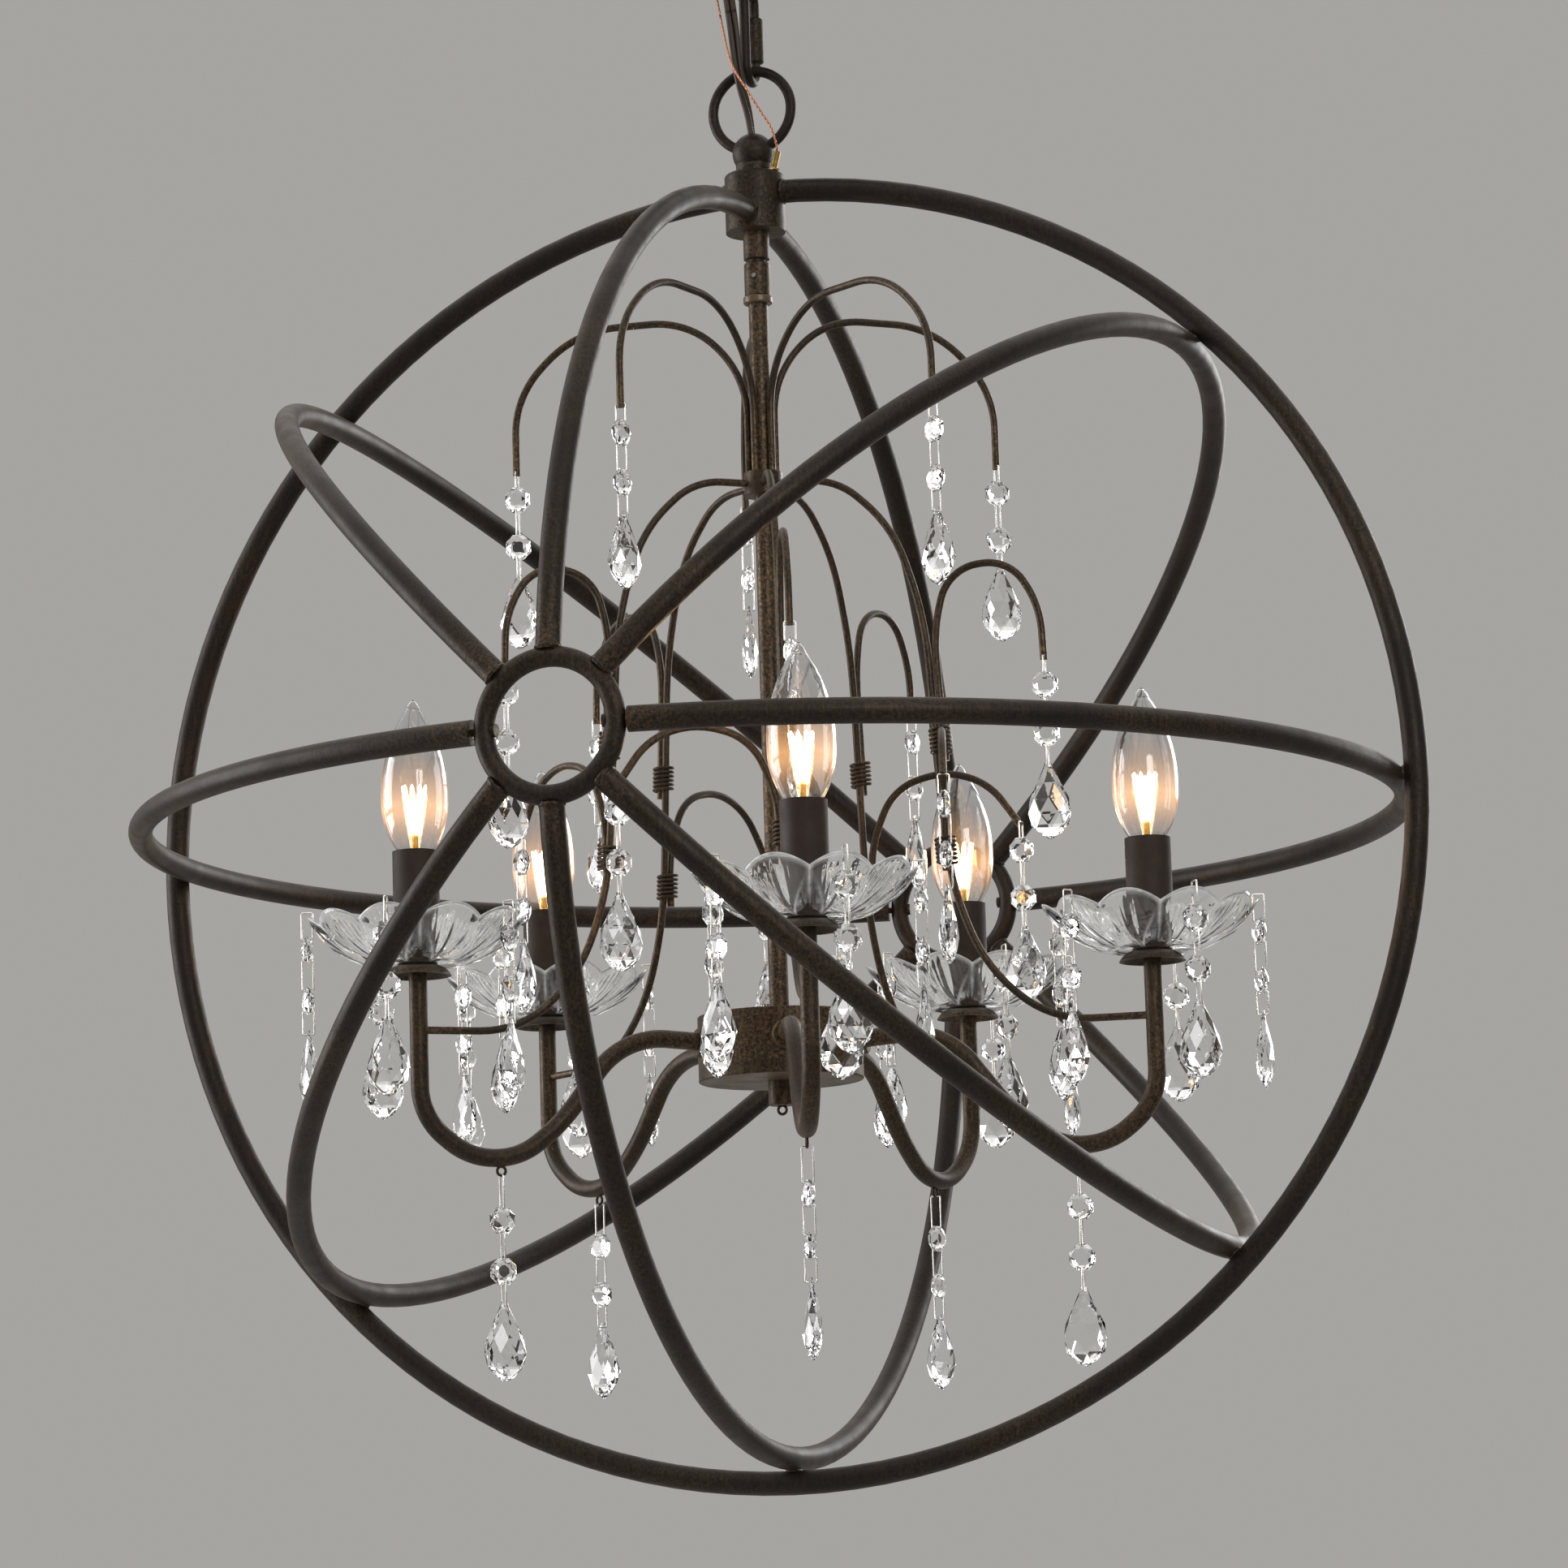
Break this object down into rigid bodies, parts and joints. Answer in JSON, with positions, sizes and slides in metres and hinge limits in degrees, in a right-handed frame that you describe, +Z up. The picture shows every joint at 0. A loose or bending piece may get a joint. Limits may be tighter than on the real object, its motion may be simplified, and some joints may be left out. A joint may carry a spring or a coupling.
{
  "type": "orb chandelier",
  "caption": "Hanging orb chandelier: a globe of bent tubes round a column with candle arms, glass dishes, curved rods and crystal strands, hung by a quick link from a canopy.",
  "frame": {"origin": "middle of the ceiling face, where the canopy and strap meet the ceiling; the lamp hangs below", "axes": "+Z up; -Y towards the front pole ring of the orb; +X to the right seen from the front"},
  "size_m": [0.71, 0.6804, 0.8724],
  "materials": {
    "aged_bronze": "dark aged bronze with worn gold-brown highlights",
    "crystal": "clear cut crystal on wire clips",
    "clear_glass": "clear pressed glass",
    "bulb_glass": "clear thin bulb glass",
    "brass": "plain brass",
    "copper": null,
    "socket_plastic": "black moulded socket",
    "candle_brown": "matte dark brown sleeve",
    "zinc_steel": "zinc-plated steel",
    "cap_plastic": "moulded plastic",
    "cord_brown": "flexible insulation"
  },
  "bodies": {
    "ceiling_mount": {"mounting_strap": "zinc_steel", "ceiling_canopy": "aged_bronze", "canopy_loop": "aged_bronze", "canopy_nut": "zinc_steel", "wire_caps": "cap_plastic"},
    "link": {"quick_link": "aged_bronze", "supply_cord_upper": "cord_brown", "ground_wire_upper": "copper"},
    "sleeve": {"link_sleeve": "aged_bronze"},
    "cage": {"hanging_loop": "aged_bronze", "loop_ball": "aged_bronze", "ground_lug": "brass", "top_hub": "aged_bronze", "outer_ring": "aged_bronze", "vertical_hoop": "aged_bronze", "level_hoop": "aged_bronze", "rising_hoop": "aged_bronze", "falling_hoop": "aged_bronze", "front_pole_ring": "aged_bronze", "back_pole_ring": "aged_bronze", "pole_screws": "aged_bronze", "fixed_coupling": "aged_bronze", "supply_cord_lower": "cord_brown", "ground_wire_lower": "copper"},
    "column": {"arm_back_left": "aged_bronze", "arm_back_right": "aged_bronze", "arm_collars": "aged_bronze", "arm_front": "aged_bronze", "arm_left": "aged_bronze", "arm_right": "aged_bronze", "arm_wires": "cord_brown", "brace_rods": "aged_bronze", "bulb_bases": "brass", "bulb_glasses": "bulb_glass", "candle_sleeves": "candle_brown", "center_drum": "aged_bronze", "column_lead": "cord_brown", "dish_strands": "crystal", "drip_cups": "aged_bronze", "drum_cover": "aged_bronze", "drum_finial": "aged_bronze", "glass_dishes": "clear_glass", "lamp_sockets": "socket_plastic", "lower_twig_strands": "crystal", "set_screw": "zinc_steel", "splice_caps": "cap_plastic", "spray_collar": "aged_bronze", "spray_rods": "aged_bronze", "spray_strands": "crystal", "stem_flange": "zinc_steel", "stem_tube": "aged_bronze", "swivel_coupling": "aged_bronze", "twig_rods": "aged_bronze", "twig_wraps": "aged_bronze", "upper_twig_strands": "crystal"},
    "strand_front": {"arm_strand_front": "crystal"},
    "strand_right": {"arm_strand_right": "crystal"},
    "strand_back_right": {"arm_strand_back_right": "crystal"},
    "strand_back_left": {"arm_strand_back_left": "crystal"},
    "strand_left": {"arm_strand_left": "crystal"}
  },
  "joints": [
    {"name": "link_swing", "type": "hinge", "parent": "ceiling_mount", "child": "link", "pos_m": [0, 0, -0.057], "axis": [1, 0, 0], "range_deg": [-12, 12], "deforming": ["supply_cord_upper", "ground_wire_upper"]},
    {"name": "orb_swing", "type": "hinge", "parent": "link", "child": "cage", "pos_m": [0, 0, -0.10555], "axis": [0, 1, 0], "range_deg": [-12, 12], "deforming": ["supply_cord_lower", "ground_wire_lower"]},
    {"name": "sleeve_slide", "type": "slide", "parent": "link", "child": "sleeve", "axis": [0, 0, 1], "range_m": [0, 0.0072]},
    {"name": "column_swivel", "type": "hinge", "parent": "cage", "child": "column", "pos_m": [0, 0, -0.21545], "axis": [0, 0, 1], "range_deg": [-16, 8]},
    {"name": "strand_swing_front", "type": "hinge", "parent": "column", "child": "strand_front", "pos_m": [0.06072, -0.14587, -0.70475], "axis": [0.9232, 0.3843, 0], "range_deg": [-12, 12]},
    {"name": "strand_swing_right", "type": "hinge", "parent": "column", "child": "strand_right", "pos_m": [0.15749, 0.01267, -0.70475], "axis": [-0.0802, 0.9968, 0], "range_deg": [-12, 12]},
    {"name": "strand_swing_back_right", "type": "hinge", "parent": "column", "child": "strand_back_right", "pos_m": [0.03662, 0.1537, -0.70475], "axis": [-0.9728, 0.2317, 0], "range_deg": [-12, 12]},
    {"name": "strand_swing_back_left", "type": "hinge", "parent": "column", "child": "strand_back_left", "pos_m": [-0.13486, 0.08232, -0.70475], "axis": [-0.521, -0.8536, 0], "range_deg": [-12, 12]},
    {"name": "strand_swing_left", "type": "hinge", "parent": "column", "child": "strand_left", "pos_m": [-0.11997, -0.10282, -0.70475], "axis": [0.6508, -0.7593, 0], "range_deg": [-12, 12]}
  ]
}
